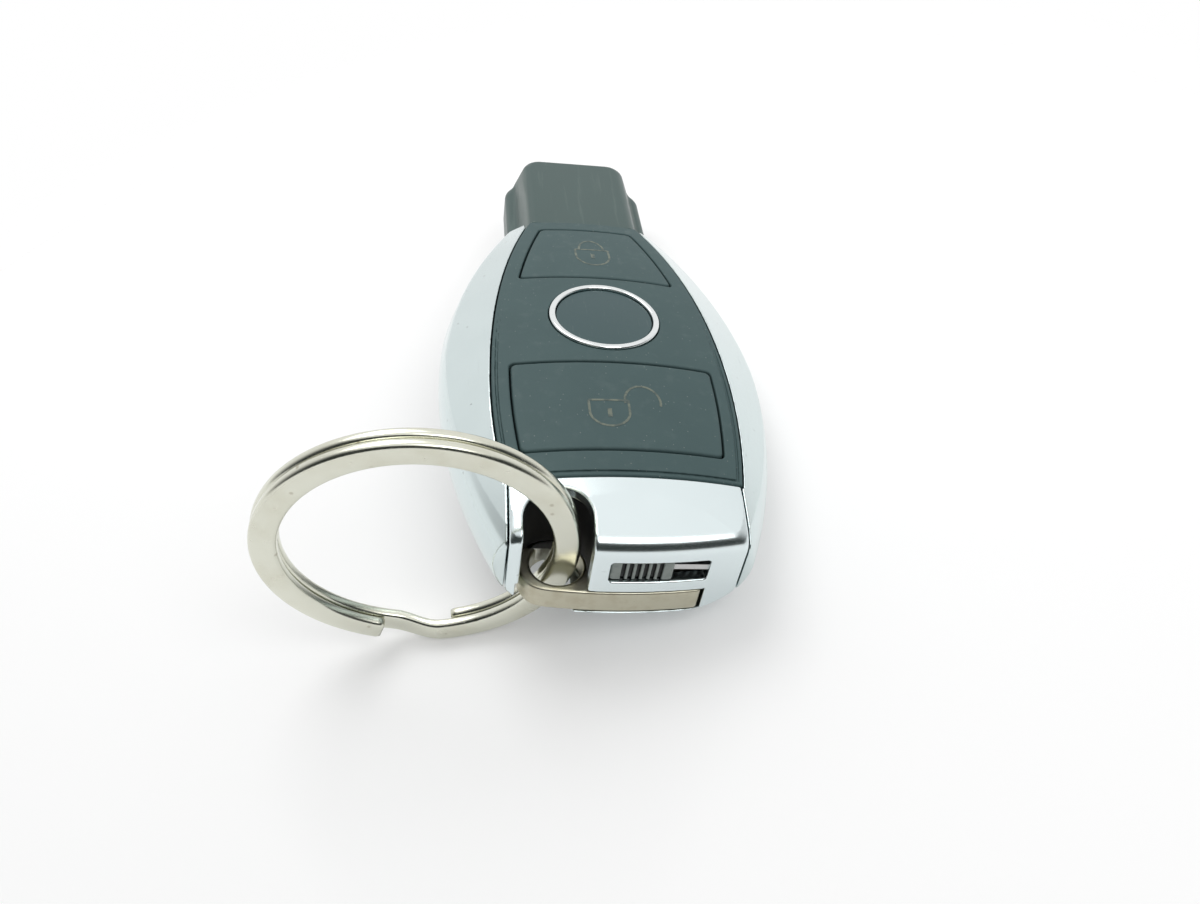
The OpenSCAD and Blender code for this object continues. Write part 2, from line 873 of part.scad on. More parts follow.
// Wound coil that draws power from the ignition switch
module power_coil() {
    color("peru")
        translate([0, shoulder_l + coil_r + inner, board_top])
            difference() {
                cylinder(r = coil_r, h = coil_h, $fn = round);
                translate([0, 0, -coil_h])
                    cylinder(r = coil_hole_r, h = 3 * coil_h, $fn = round);
            }
}

module coin_cell() {
    color("silver")
        translate([cell_x, cell_y, cell_z]) {
            cylinder(d = cell_d, h = cell_t - cell_step, $fn = fine);
            cylinder(d = cell_d - 2 * cell_rim, h = cell_t, $fn = fine);
        }
}

// The pocket beside the coin cell that holds the plus contact
module plus_pocket() {
    block([cell_x - contact_w / 2 - fit, cell_y, 0],
          [cell_x + contact_w / 2 + fit, cell_y + cell_d / 2 + contact_t + 3 * fit, deck_z]);
}

module plus_contact() {
    edge_y = cell_y + cell_d / 2 + fit;
    color("goldenrod")
        block([cell_x - contact_w / 2, edge_y, cell_z],
              [cell_x + contact_w / 2, edge_y + contact_t, deck_z]);
}

module minus_contact() {
    color("goldenrod")
        block([cell_x - contact_w / 2, cell_y - contact_w / 2, deck_z - contact_t],
              [cell_x + contact_w / 2, cell_y + contact_w / 2, deck_z]);
}

module key_head() {
    color("tan")
        difference() {
            translate([0, 0, head_z])
                linear_extrude(head_t)
                    intersection() {
                        union() {
                            translate([-eye_x, eye_y])
                                circle(r = eye_outer_r, $fn = round);
                            translate([-head_left, eye_y])
                                square([head_left + head_right, head_front - eye_y]);
                            translate([-eye_x, -2 * tail_l])
                                square([eye_x + head_right, 2 * tail_l + head_front]);
                        }
                        translate([0, tail_r - tail_l])
                            circle(r = tail_r, $fn = fine);
                    }
            translate([-eye_x, eye_y, -body_h])
                cylinder(r = eye_r, h = 3 * body_h, $fn = round);
            tang(fit / 2);
        }
}

// The blade's tang in the head, thickened by grow for its slot
module tang(grow) {
    x = blade_w / 2 - head_left;
    block([x - tang_w / 2 - grow, head_front - tang_l - grow, blade_z - grow],
          [x + tang_w / 2 + grow, head_front + grow, head_top + 2 * grow]);
}

module key_blade() {
    left = -head_left;
    right = blade_w - head_left;
    mid = blade_w / 2 - head_left;
    tip = head_front + blade_l;
    groove_half = blade_w / 6;
    color("silver")
        difference() {
            union() {
                translate([0, 0, blade_z])
                    linear_extrude(blade_t)
                        polygon([[left, head_front], [right, head_front], [right, tip - blade_tip_l],
                                 [mid + blade_tip_w / 2, tip], [mid - blade_tip_w / 2, tip],
                                 [left, tip - blade_tip_l]]);
                tang(0);
            }
            for (z = [blade_z - blade_t + blade_groove, head_top - blade_groove])
                block([mid - groove_half, head_front + tang_l, z],
                      [mid + groove_half, 2 * tip, z + blade_t]);
        }
}

module release_slide() {
    low = slot_z + slide_gap;
    high = slot_z + slot_h - slide_gap;
    front = slide_recess - tail_l;
    color("gray")
        difference() {
            union() {
                block([slide_left, front, low], [slide_left + slide_l, slide_back_y + slide_back_t, high]);
                block([slide_left - slide_overlap, slide_back_y, slot_z - slide_overlap],
                      [slide_left + slide_l + slide_overlap, slide_back_y + slide_back_t,
                       slot_z + slot_h + slide_overlap]);
                block([slide_left + slide_l / 2 - tongue_w / 2, slide_back_y, channel_top],
                      [slide_left + slide_l / 2 + tongue_w / 2, slide_back_y + slide_back_t, slot_z]);
            }
            block([-body_w, rail_in - tail_l - running, slot_mid - rail_h / 2 - running],
                  [body_w, rail_in + rail_t - tail_l + running, slot_mid + rail_h / 2 + running]);
            for (i = [0 : slide_grooves - 1])
                translate([slide_left + slide_pad + (i + 0.5) * groove_pitch - groove_w / 2,
                           front - groove_w, 0])
                    cube([groove_w, 2 * groove_w, body_h]);
        }
}

// Compression spring behind the slide: one wire swept along a helix
module release_spring() {
    steps = spring_turns * spring_ring_steps;
    coil_mid_r = (spring_d - spring_wire) / 2;
    length = spring_right - spring_left - spring_wire - 2 * fit;
    centre = [spring_left + fit + spring_wire / 2, slide_back_y + slide_back_t / 2, slot_mid];
    points = [for (i = [0 : steps], k = [0 : spring_sides - 1])
        let (turn = 360 * i / spring_ring_steps,
             around = 360 * k / spring_sides,
             r = coil_mid_r + spring_wire / 2 * cos(around))
        centre + [length * i / steps + spring_wire / 2 * sin(around), r * cos(turn), r * sin(turn)]];
    sides = [for (i = [0 : steps - 1], k = [0 : spring_sides - 1])
        let (a = i * spring_sides + k,
             b = i * spring_sides + (k + 1) % spring_sides)
        each [[a, b, b + spring_sides], [a, b + spring_sides, a + spring_sides]]];
    first = [for (k = [1 : spring_sides - 2]) [0, k + 1, k]];
    last_ring = steps * spring_sides;
    last = [for (k = [1 : spring_sides - 2]) [last_ring, last_ring + k, last_ring + k + 1]];
    color("silver")
        polyhedron(points, concat(sides, first, last));
}

// One turn of the split ring's flat wire, between two angles, at a height along the ring's axis
module ring_turn(from, to, low) {
    rotate([0, 0, from])
        rotate_extrude(angle = to - from, $fn = fine)
            translate([ring_inner_r, low])
                square([ring_wire_w, ring_wire_t]);
}

// The cross-over at the bottom, where the wire passes from the front turn to the back one
module ring_cross_over(front_low, back_low) {
    half_span = ring_cross_span / 2;
    half_l = ring_r * sin(half_span) + ring_wire_t / 4;
    translate([0, -ring_inner_r * cos(half_span), 0])
        rotate([90, 0, 0])
            linear_extrude(ring_wire_w)
                polygon([[half_l, front_low], [half_l, front_low + ring_wire_t],
                         [-half_l, back_low + ring_wire_t], [-half_l, back_low]]);
}

module key_ring() {
    start = ring_cross_span / 2 - 90;
    end = 270 - ring_cross_span / 2;
    front_low = ring_gap / 2;
    back_low = -ring_gap / 2 - ring_wire_t;
    color("tan")
        translate([-eye_x - ring_reach, eye_y - ring_drop * tan(ring_lean), ring_z])
            rotate([90 + ring_lean, 0, 0]) {
                ring_turn(start, end - ring_end_gap, front_low);
                ring_turn(start + ring_end_gap, end, back_low);
                ring_cross_over(front_low, back_low);
            }
}

nose_cap();
carrier();
left_side_trim();
right_side_trim();
tail_cap();
front_panel();
lock_button();
unlock_button();
button_mat();
badge_ring();
badge_disc();
rear_cover();
circuit_board();
lock_switch();
unlock_switch();
controller_chip();
crystal();
infrared_emitter();
infrared_receiver();
power_coil();
coin_cell();
plus_contact();
minus_contact();
key_head();
key_blade();
release_slide();
slide_rail();
release_spring();
key_ring();
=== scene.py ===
import math

import bpy
import numpy as np
from mathutils import Matrix, Vector


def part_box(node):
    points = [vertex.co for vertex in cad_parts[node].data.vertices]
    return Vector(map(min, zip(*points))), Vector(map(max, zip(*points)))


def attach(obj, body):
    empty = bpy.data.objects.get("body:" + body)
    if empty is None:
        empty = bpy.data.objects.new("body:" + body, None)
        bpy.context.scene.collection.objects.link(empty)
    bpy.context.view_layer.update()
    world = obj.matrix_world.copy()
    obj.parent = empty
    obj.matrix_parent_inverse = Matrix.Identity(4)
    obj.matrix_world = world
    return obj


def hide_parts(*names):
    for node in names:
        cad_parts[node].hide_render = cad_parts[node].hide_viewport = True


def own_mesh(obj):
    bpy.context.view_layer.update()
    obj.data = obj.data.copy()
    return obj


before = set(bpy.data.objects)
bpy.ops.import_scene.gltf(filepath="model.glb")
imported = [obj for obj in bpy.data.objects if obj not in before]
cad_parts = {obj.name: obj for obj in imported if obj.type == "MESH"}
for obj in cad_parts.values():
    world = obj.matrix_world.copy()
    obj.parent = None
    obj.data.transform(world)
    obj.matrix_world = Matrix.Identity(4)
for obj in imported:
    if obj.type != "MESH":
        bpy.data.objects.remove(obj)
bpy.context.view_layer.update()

# The view: the camera stands close behind the tail and looks down along the fob,
# with the wide lens of a telephone held by hand.
eye = Vector((-0.02119, -0.10152, 0.09081))
ahead = Vector((0.1611, 0.7198, -0.6752)).normalized()
right = Vector((0.9865, -0.0977, 0.1312)).normalized()
above = right.cross(ahead).normalized()
lens_data = bpy.data.cameras.new("view")
lens_data.sensor_width = 36
lens_data.lens = 30
lens_data.clip_start = 0.005
camera = bpy.data.objects.new("view", lens_data)
camera.matrix_world = Matrix.Translation(eye) @ Matrix((right, above, -ahead)).transposed().to_4x4()
bpy.context.scene.collection.objects.link(camera)
bpy.context.scene.camera = camera


# Carrier: the black moulding inside the casing that seats the board, the cell and the key.
# It is glass-filled nylon straight from the mould, and shows only through the gaps.
mm_per_m = 1000


class Paint:
    """A socket of one material's nodes: sums, differences and products of it add Math nodes."""

    def __init__(self, tree, socket=None):
        self.tree = tree
        self.socket = socket

    def node(self, kind, settings=(), sockets=(), output=0):
        """Adds a node, sets its settings first and then its sockets, and wraps one output."""
        made = self.tree.nodes.new(kind)
        for name, value in dict(settings).items():
            setattr(made, name, value)
        for name, value in dict(sockets).items():
            if isinstance(value, Paint):
                self.tree.links.new(value.socket, made.inputs[name])
            else:
                made.inputs[name].default_value = value
        return Paint(self.tree, made.outputs[output] if made.outputs else None)

    def math(self, operation, first, second):
        return self.node("ShaderNodeMath", {"operation": operation}, {0: first, 1: second})

    def __add__(self, other):
        return self.math("ADD", self, other)

    def __radd__(self, other):
        return self.math("ADD", other, self)

    def __sub__(self, other):
        return self.math("SUBTRACT", self, other)

    def __rsub__(self, other):
        return self.math("SUBTRACT", other, self)

    def __mul__(self, other):
        return self.math("MULTIPLY", self, other)

    def __rmul__(self, other):
        return self.math("MULTIPLY", other, self)

    def fade(self, low, high):
        """Goes smoothly from 0 where this is low to 1 where it is high."""
        return self.node("ShaderNodeMapRange", {"interpolation_type": "SMOOTHSTEP"},
                         {"Value": self, "From Min": low, "From Max": high})

    def place(self):
        """The point on the piece, in metres in the frame."""
        return self.node("ShaderNodeTexCoord", output="Object")

    def along(self, axis):
        """One coordinate of that point, in millimetres."""
        return self.node("ShaderNodeSeparateXYZ", (), {0: self.place()}, axis) * mm_per_m

    def noise(self, size, detail=3, stretch=(1, 1, 1)):
        """Cloudy noise whose patches are about size metres wide, drawn out by stretch."""
        drawn = [1 / (size * s) for s in stretch]
        point = self.node("ShaderNodeVectorMath", {"operation": "MULTIPLY"}, {0: self.place(), 1: drawn})
        return self.node("ShaderNodeTexNoise", (), {"Vector": point, "Scale": 1, "Detail": detail})

    def specks(self, size):
        """Distance to the nearest of scattered points about size metres apart, from 0."""
        return self.node("ShaderNodeTexVoronoi", (), {"Vector": self.place(), "Scale": 1 / size})

    def mix(self, factor, first, second):
        """One colour turning into another as the factor goes from 0 to 1."""
        return self.node("ShaderNodeMix", {"data_type": "RGBA"}, {0: factor, 6: first, 7: second}, 2)

    def bump(self, height, depth):
        return self.node("ShaderNodeBump", (), {"Height": height, "Distance": depth, "Strength": 1})

    def cover(self, sockets):
        """Ends the material in one surface shader with these sockets."""
        shader = self.node("ShaderNodeBsdfPrincipled", (), sockets)
        self.node("ShaderNodeOutputMaterial", (), {"Surface": shader})

    def cut_away(self, gone, shader):
        """Ends the material in a shader that turns clear as gone goes from 0 to 1."""
        clear = self.node("ShaderNodeBsdfTransparent")
        mixed = self.node("ShaderNodeMixShader", (), {0: gone, 1: shader, 2: clear})
        self.node("ShaderNodeOutputMaterial", (), {"Surface": mixed})


def new_finish(name):
    """A new material without nodes, and the paint that fills it."""
    made = bpy.data.materials.new(name)
    made.use_nodes = True
    made.node_tree.nodes.clear()
    return made, Paint(made.node_tree)


def paint_nodes(finish, *nodes):
    """Gives CAD nodes that keep their own shape a finish."""
    for node in nodes:
        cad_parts[node].data.materials.clear()
        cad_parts[node].data.materials.append(finish)


black_moulding, paint = new_finish("black_moulding")
grain = paint.noise(0.0002)
paint.cover({"Base Color": paint.mix(grain, (0.006, 0.006, 0.007, 1), (0.014, 0.014, 0.015, 1)),
             "Roughness": 0.45 + 0.2 * grain,
             "Normal": paint.bump(grain, 0.00002)})
paint_nodes(black_moulding, "carrier")


# Nose: the dark plug that goes into the ignition switch, an upper block over a wider flange.
# It is infrared-clear plastic, moulded with rounded edges and worn to a satin by its socket.
def round_max(first, second, radius):
    """The larger of two distances, with the edge where they meet rounded."""
    corner = np.hypot(np.maximum(first + radius, 0), np.maximum(second + radius, 0))
    return np.minimum(np.maximum(first, second), -radius) + corner


def within(low, high, value):
    """Distance outside a span, negative within it."""
    return np.maximum(low - value, value - high)


def box_mm(node):
    """A node's lowest and highest corners, in millimetres."""
    return [mm_per_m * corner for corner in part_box(node)]


def new_piece(name, points, faces):
    """A new object from points in millimetres and their faces."""
    mesh = bpy.data.meshes.new(name)
    mesh.from_pydata(np.array(points) / mm_per_m, [], faces)
    made = bpy.data.objects.new(name, mesh)
    bpy.context.scene.collection.objects.link(made)
    return made


def skin(name, field, low, high, step, rounds=6, settling=3, least_slope=0.5):
    """Meshes the closed surface where a field, in millimetres, is zero, with its true normals."""
    margin = 1.5 * step
    low = np.array(low, float) - margin
    count = np.ceil((np.array(high, float) + margin - low) / step).astype(int) + 1
    axes = [low[i] + step * np.arange(count[i]) for i in range(3)]
    inside = field(*np.meshgrid(*axes, indexing="ij")) < 0
    cells = count - 1
    filled = np.zeros(cells, int)
    for shift in np.ndindex(2, 2, 2):
        filled += inside[tuple(slice(s, s + n) for s, n in zip(shift, cells))]
    # One point for each cell of the grid that the surface crosses
    crossed = (filled > 0) & (filled < 8)
    index = np.full(cells, -1)
    index[crossed] = np.arange(crossed.sum())
    points = low + step * (np.argwhere(crossed) + 0.5)
    # One face across each edge of the grid whose ends lie on different sides
    quads = []
    for axis in range(3):
        near = np.take(inside, range(cells[axis]), axis)
        far = np.take(inside, range(1, count[axis]), axis)
        for flips, order in ((near & ~far, 1), (far & ~near, -1)):
            corner = np.argwhere(flips)
            ring = []
            for b, c in ((0, 0), (-1, 0), (-1, -1), (0, -1))[::order]:
                cell = corner.copy()
                cell[:, (axis + 1) % 3] += b
                cell[:, (axis + 2) % 3] += c
                ring.append(index[tuple(cell.T)])
            quads.append(np.stack(ring, 1))
    quads = np.concatenate(quads)
    ends = np.concatenate([quads[:, [k, (k + 1) % 4]] for k in range(4)])
    ends = np.concatenate([ends, ends[:, ::-1]])
    degree = np.bincount(ends[:, 0], minlength=len(points))[:, None]
    nudge = 0.05 * step

    def slope(at):
        steps = nudge * np.eye(3)
        return np.stack([field(*(at + s).T) - field(*(at - s).T) for s in steps], 1) / (2 * nudge)

    # Even the points out at first, and draw them onto the surface in every round
    for done in range(rounds):
        if done < rounds - settling:
            points = np.stack([np.bincount(ends[:, 0], points[ends[:, 1], k], len(points))
                               for k in range(3)], 1) / degree
        lean = slope(points)
        fall = field(*points.T) / np.maximum((lean ** 2).sum(1), least_slope ** 2)
        points = points - np.clip(fall, -step, step)[:, None] * lean
    lean = slope(points)
    lean /= np.maximum(np.linalg.norm(lean, axis=1), 1e-6)[:, None]
    made = new_piece(name, points, quads)
    made.data.shade_smooth()
    made.data.normals_split_custom_set_from_vertices(lean)
    return made


def dress(piece, finish, body, slot, *nodes):
    """Gives a piece its finish and its body, and hides the CAD nodes that it stands for; the slot is not
    used.
    """
    piece.data.materials.append(finish)
    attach(piece, body)
    if nodes:
        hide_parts(*nodes)


nose_high = box_mm("nose_cap")[1]
shoulder_y = 33.5
tip_y = nose_high.y
nose_root_l = 1.5
nose_back_y = shoulder_y - nose_root_l
nose_floor_z = 2.4
nose_top_z = nose_high.z
nose_top_half = 8.8
nose_in = 0.8
nose_lean = 0.42
lean_start = 0.4
flange_half = 11.2
flange_z = 7.9
flange_back = 1.2
flange_corner_r = 4.2
nose_corner_r = 2.6
nose_edge_r = 1
nose_foot_r = 0.5
nose_wall = 1.4
panel_foot_z = 9.9
sheen_band_x = (7.9, 8.5)
sheen_band_end_x = (9.7, 9.1)


def nose_block(x, y, z, half, front, top, corner_r):
    """One moulded block: upright corners, then rounded upper and lower edges."""
    plan = round_max(np.abs(x) - half, y - front, corner_r)
    return round_max(plan, within(nose_floor_z, top, z), nose_edge_r)


def nose(x, y, z):
    """The upper block, whose sides lean out once they are clear of the trims, over the flange."""
    clear_of = np.clip((y - shoulder_y) / lean_start, 0, 1)
    drop = np.clip(nose_top_z - z, 0, nose_top_z - flange_z)
    half = nose_top_half + clear_of * (nose_lean * drop - nose_in)
    block = nose_block(x, y, z, half, tip_y, nose_top_z, nose_corner_r)
    flange = nose_block(x, y, z, flange_half, tip_y - flange_back, flange_z, flange_corner_r)
    outer = -round_max(-block, -flange, nose_foot_r)
    shell = np.maximum(outer, -(outer + nose_wall))
    shell = np.maximum(shell, nose_back_y - y)
    return np.maximum(shell, -np.maximum(panel_foot_z - z, y - shoulder_y))


nose_piece = skin("nose", nose, (-flange_half, nose_back_y, nose_floor_z),
                  (flange_half, tip_y, nose_top_z), step=0.22)
worn_plug, paint = new_finish("worn_plug")
grain = paint.noise(0.00015)
scuffs = paint.noise(0.0008, 5, (1, 18, 1)).fade(0.55, 0.7)
cloud = paint.noise(0.005, 4)
tone = paint.mix(cloud, (0.050, 0.084, 0.078, 1), (0.062, 0.100, 0.094, 1))
sideways = paint.math("ABSOLUTE", paint.along("X"), 0)
# Painted highlight: a lighter band along the rounded upper edges and upper sides, broken up by noise.
edge_sheen = sideways.fade(*sheen_band_x) * sideways.fade(*sheen_band_end_x) * paint.noise(0.002, 4, (1, 4, 1))
tone = paint.mix(edge_sheen * 1.2, tone, (0.155, 0.190, 0.178, 1))
paint.cover({"Base Color": paint.mix(scuffs * 0.6, tone, (0.115, 0.155, 0.145, 1)),
             "Roughness": 0.3 + 0.14 * cloud + 0.14 * scuffs,
             "Specular IOR Level": 0.32,
             "Normal": paint.bump(grain + 0.4 * scuffs, 0.000006)})
dress(nose_piece, worn_plug, "casing", "nose_plastic", "nose_cap")


# Side trims: two plated shells that wrap from the panel's edge over a crease to the back.
# They are moulded plastic with a satin chrome plating, clipped over the carrier.
half_w = box_mm("right_side_trim")[1].x
tail_half = 13.92
body_h = 15.5
tail_l = 32
plan_r = (tail_l ** 2 + (half_w - tail_half) ** 2) / (2 * (half_w - tail_half))
plan_cx = plan_r - half_w
belly_r = 6.5
flank_r = 8
bevel_deg = 36
crease_deg = 72
bevel_x = 15
bevel_z = 14
bevel_back = 2.5
crease_in = 0.6
crease_x = half_w - crease_in
crease_r = 1.5
trim_wall = 1.5
trim_inner_x = 5
crown_side_r = 174
crown_cross_r = 75.7
tail_r = 70
ridge_z = 11.7
ridge_deg = 16.5
ridge_r = 2
cap_half = 13.3
tail_edge_r = 0.5
parting = 0.15
fit = 0.1
nose_room_l = 2
panel_half = 15
panel_back = 7.5
panel_nose_r = 128
panel_tail_r = 92
panel_tail_y = -23.3
edge_r = 0.22
head_low, head_high = box_mm("key_head")
head_gap = 0.25
lip_front_y = head_high.y + head_gap
channel_z = head_high.z + head_gap


def wedge(u, z, low_deg, high_deg, low_point, high_point, radius):
    """Distance past two faces, given by their normals' angles from upright and a point on each."""
    up = np.array([math.sin(math.radians(low_deg)), math.cos(math.radians(low_deg))])
    out = np.array([math.sin(math.radians(high_deg)), math.cos(math.radians(high_deg))])
    up_d = up @ low_point
    out_d = out @ high_point
    centre = np.linalg.solve(np.array([up, out]), np.array([up_d - radius, out_d - radius]))
    lean = np.degrees(np.arctan2(u - centre[0], z - centre[1]))
    flat = np.maximum(up[0] * u + up[1] * z - up_d, out[0] * u + out[1] * z - out_d)
    curved = np.hypot(u - centre[0], z - centre[1]) - radius
    return np.where((lean > low_deg) & (lean < high_deg), curved, flat)


def crown(x, y, z):
    """Distance above the doubly curved crown of the panel."""
    along = np.hypot(y, z + crown_side_r - body_h) - crown_side_r + crown_cross_r
    return np.hypot(along, x) - crown_cross_r


def flanks(x, y, z):
    """Distance outside the sides, with the belly below the widest line and the bevel on top."""
    u = np.hypot(np.abs(x) + plan_cx, y) - plan_r
    belly = np.hypot(np.maximum(u + belly_r, 0), np.maximum(belly_r - z, 0)) - belly_r
    flank = np.hypot(u + flank_r, np.maximum(z - belly_r, 0)) - flank_r
    w = np.hypot(np.abs(x) + plan_cx, y + bevel_back) - plan_cx
    crease_z = bevel_z - (crease_x - bevel_x) * math.tan(math.radians(bevel_deg))
    bevel = wedge(w, z, bevel_deg, crease_deg, (bevel_x, bevel_z), (crease_x, crease_z), crease_r)
    return np.maximum(np.maximum(belly, np.where(u > -belly_r, flank, u)), bevel)


def tail(x, y, z):
    """Distance outside the tail face and its sloping top."""
    v = np.hypot(x, y + tail_l - tail_r)
    return wedge(v, z, ridge_deg, 90, (tail_r, ridge_z), (tail_r, ridge_z), ridge_r)


def casing(x, y, z):
    """Distance outside the whole plated casing."""
    return np.maximum(round_max(flanks(x, y, z), tail(x, y, z), tail_edge_r), crown(x, y, z))


def back_opening(x, y):
    """Distance outside the opening in the casing's back, seen from below."""
    return np.hypot(np.abs(x) + plan_cx, y) - plan_r + belly_r


def panel_plan(x, y):
    """Distance outside the panel's outline, seen from above."""
    nose_side = np.hypot(np.abs(x) + panel_nose_r - panel_half, y + panel_back) - panel_nose_r
    tail_side = np.hypot(np.abs(x) + panel_tail_r - panel_half, y + panel_back) - panel_tail_r
    side = np.where(y > -panel_back, nose_side, tail_side)
    return np.maximum(side, within(panel_tail_y, shoulder_y, y))


def side_trim(x, y, z):
    outer = round_max(casing(x, y, z), y - shoulder_y, edge_r)
    shell = np.maximum(outer, -(outer + trim_wall))
    over = np.maximum(panel_plan(x, y) - parting / 2, belly_r - z)
    shell = round_max(shell, -over, edge_r)
    cap_room = np.maximum(np.abs(x) - cap_half - parting, y - panel_tail_y + parting / 2)
    foot_room = np.maximum(y - lip_front_y - parting, z - channel_z)
    foot_room = np.maximum(np.abs(x) - cap_half - parting, foot_room)
    shell = round_max(shell, -np.minimum(cap_room, foot_room), edge_r)
    shell = round_max(shell, -np.maximum(back_opening(x, y), z - belly_r), edge_r)
    room_top = np.maximum(np.abs(x) - nose_top_half - fit, z - nose_top_z - fit)
    room_low = np.maximum(np.abs(x) - flange_half - fit, z - flange_z - fit)
    room = np.maximum(np.minimum(room_top, room_low), nose_floor_z - fit - z)
    return round_max(shell, -np.maximum(room, shoulder_y - nose_room_l - y), edge_r)


shaded_satin_plating, paint = new_finish("shaded_satin_plating")
cloud = paint.noise(0.007, 3)
fine = paint.noise(0.00012, 2)
scratches = paint.noise(0.0003, 4, (1, 22, 1)).fade(0.66, 0.76)
pits = paint.specks(0.0024).fade(0.085, 0.04)
# Painted shade: the trims' plating is painted darker than the cap's copy of the same plating.
tone = paint.mix(cloud, (0.63, 0.71, 0.71, 1), (0.69, 0.77, 0.77, 1))
tone = paint.mix(scratches * 0.3, tone, (0.50, 0.56, 0.56, 1))
paint.cover({"Base Color": paint.mix(pits * 0.5, tone, (0.36, 0.39, 0.39, 1)),
             "Metallic": 1,
             "Roughness": 0.15 + 0.06 * cloud + 0.1 * scratches,
             "Normal": paint.bump(fine + 0.6 * scratches, 0.0000008)})
for side, sign in (("left", -1), ("right", 1)):
    inner_x, outer_x = sorted((sign * trim_inner_x, sign * half_w))
    trim = skin(side + "_trim", side_trim, (inner_x, -tail_l, 0), (outer_x, shoulder_y, body_h), step=0.18)
    dress(trim, shaded_satin_plating, "casing", "satin_chrome", side + "_side_trim")


# Tail cap: the plated end piece with the slide's slot, the ring's notch and the key's opening.
# It is moulded and plated like the trims, and snaps over the carrier's end.
cap_wall = 1.6
cap_lip = 0.5
cap_front_y = panel_tail_y - parting / 2
lip_left_x = -5.4
notch_x = -8
notch_half = 3.8
notch_l = 7.4
slot_left_x = -2.1
slot_right_x = 9.2
slot_low_z = 5.8
slot_high_z = 9.0
slot_r = 0.5
slot_back_y = -29
channel_edge_r = 0.12
foot_edge_r = 0.15
notch_edge_r = 0.35
slot_edge_r = 0.2


def notch_plan(x, y):
    """Distance outside the notch, seen from above: a straight slot with a round end."""
    end_y = notch_l - notch_half - tail_l
    return np.hypot(x - notch_x, np.maximum(y - end_y, 0)) - notch_half


def tail_cap(x, y, z):
    outer = casing(x, y, z)
    hollow = np.maximum(outer + cap_wall, cap_lip - z)
    body = round_max(np.maximum(outer, -hollow), np.abs(x) - cap_half, edge_r)
    lip = np.maximum(z - cap_lip, y - lip_front_y)
    body = round_max(body, np.minimum(y - cap_front_y, lip), edge_r)
    channel = np.maximum(within(head_low.x - head_gap, head_high.x + head_gap, x),
                         np.maximum(within(cap_lip, channel_z, z), y - lip_front_y))
    body = round_max(body, -channel, channel_edge_r)
    open_foot = np.maximum(within(head_low.x - head_gap, lip_left_x, x), z - channel_z)
    body = round_max(body, -open_foot, foot_edge_r)
    body = round_max(body, -np.maximum(notch_plan(x, y), head_low.z - z), notch_edge_r)
    slot = round_max(within(slot_left_x, slot_right_x, x), within(slot_low_z, slot_high_z, z), slot_r)
    return round_max(body, -np.maximum(slot, y - slot_back_y), slot_edge_r)


cap_piece = skin("tail_end", tail_cap, (-cap_half, -tail_l, 0), (cap_half, lip_front_y, body_h), step=0.17)
lit_cap_plating, paint = new_finish("lit_cap_plating")
cloud = paint.noise(0.008, 3)
fine = paint.noise(0.00012, 2)
scratches = paint.noise(0.00025, 4, (20, 1, 1)).fade(0.68, 0.78)
pits = paint.specks(0.0031).fade(0.07, 0.035)
# Painted light: the cap's plating is painted lighter than the trims' copy of the same plating.
tone = paint.mix(cloud, (0.735, 0.815, 0.825, 1), (0.775, 0.855, 0.865, 1))
tone = paint.mix(scratches * 0.2, tone, (0.60, 0.66, 0.67, 1))
paint.cover({"Base Color": paint.mix(pits * 0.45, tone, (0.45, 0.48, 0.48, 1)),
             "Metallic": 1,
             "Roughness": 0.19 + 0.06 * cloud + 0.08 * scratches,
             "Normal": paint.bump(fine + 0.6 * scratches, 0.0000007)})
dress(cap_piece, lit_cap_plating, "casing", "satin_chrome", "tail_cap")


# Front panel: the crowned slate-grey cover, with an opening for each button and the badge's recess.
# It is moulded with a fine spark-eroded texture; a thin groove inside its edge ends beside the badge.
panel_wall = 1.7
panel_low_z = 9
button_margin = 2.2
button_corner_r = 0.7
lock_y = (14.5, 30.5)
unlock_y = (-19.6, -4.6)
badge_y = 5
badge_r = 7.3
badge_depth = 0.8
badge_bed = 0.05
border_in = 0.6
border_half = 0.15
border_depth = 0.22
border_run_out = (-8, 6)
opening_edge_r = 0.25
recess_edge_r = 0.12
border_edge_r = 0.08


def button_plan(x, y, span, grow):
    """Distance outside a button's opening, widened by grow."""
    side = panel_plan(x, y) + button_margin - grow
    return round_max(side, within(span[0] - grow, span[1] + grow, y), button_corner_r)


def front_panel(x, y, z):
    top = crown(x, y, z)
    outline = panel_plan(x, y) + parting / 2
    plate = np.maximum(round_max(top, outline, edge_r), -(top + panel_wall))
    for span in (lock_y, unlock_y):
        plate = round_max(plate, -button_plan(x, y, span, 0), opening_edge_r)
    recess = np.maximum(np.hypot(x, y - badge_y) - badge_r - fit, -(top + badge_depth + badge_bed))
    plate = round_max(plate, -recess, recess_edge_r)
    full_y, end_y = border_run_out
    depth = border_depth * np.clip((end_y - y) / (end_y - full_y), -1, 1)
    groove = np.maximum(np.abs(outline + border_in) - border_half, -(top + depth))
    return round_max(plate, -groove, border_edge_r)


panel_piece = skin("panel", front_panel, (-panel_half, panel_tail_y, panel_low_z),
                   (panel_half, shoulder_y, body_h), step=0.15)
slate, paint = new_finish("slate_texture")
grain = paint.noise(0.00011, 4)
cloud = paint.noise(0.005, 4)
dust = paint.specks(0.0009).fade(0.11, 0.06)
rub = paint.noise(0.0016, 5).fade(0.52, 0.8)
tone = paint.mix(cloud, (0.050, 0.086, 0.088, 1), (0.060, 0.101, 0.102, 1))
tone = paint.mix(rub * 0.3, tone, (0.085, 0.125, 0.124, 1))
paint.cover({"Base Color": paint.mix(dust * 0.5, tone, (0.24, 0.27, 0.26, 1)),
             "Roughness": 0.5 + 0.16 * grain - 0.08 * rub,
             "Specular IOR Level": 0.25,
             "Normal": paint.bump(grain + 0.5 * dust, 0.000014)})
dress(panel_piece, slate, "casing", "slate_plastic", "front_panel")


